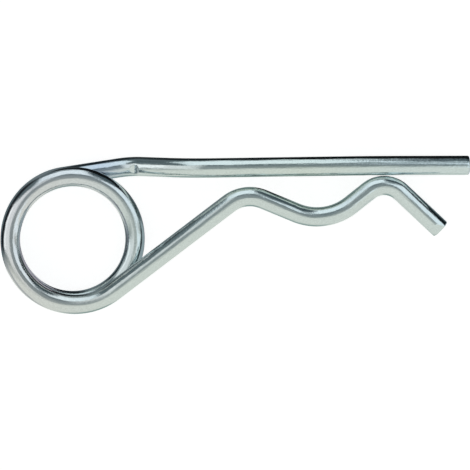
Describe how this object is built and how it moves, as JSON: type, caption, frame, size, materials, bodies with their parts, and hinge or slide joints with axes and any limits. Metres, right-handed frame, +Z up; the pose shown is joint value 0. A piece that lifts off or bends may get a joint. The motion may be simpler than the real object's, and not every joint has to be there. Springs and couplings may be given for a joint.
{
  "type": "hitch r clip pin",
  "caption": "Sprung R clip bent from round wire: a straight leg for a shaft's cross hole, a waved leg that snaps over the shaft, a coil that springs the legs together and a flared tail to pull.",
  "frame": {"origin": "middle of the clip's outline seen from above, on the surface it rests on", "axes": "+Z up from that surface, +X from the coil along the straight leg to its tip, +Y across, from the waved leg to the straight leg"},
  "size_m": [0.1216, 0.0408, 0.0126],
  "materials": {
    "zinc_steel": "bright zinc with a clear blue passivate on drawn spring wire, glossy, with faint lines along the wire"
  },
  "bodies": {
    "root": {"clip": "zinc_steel"}
  },
  "joints": []
}
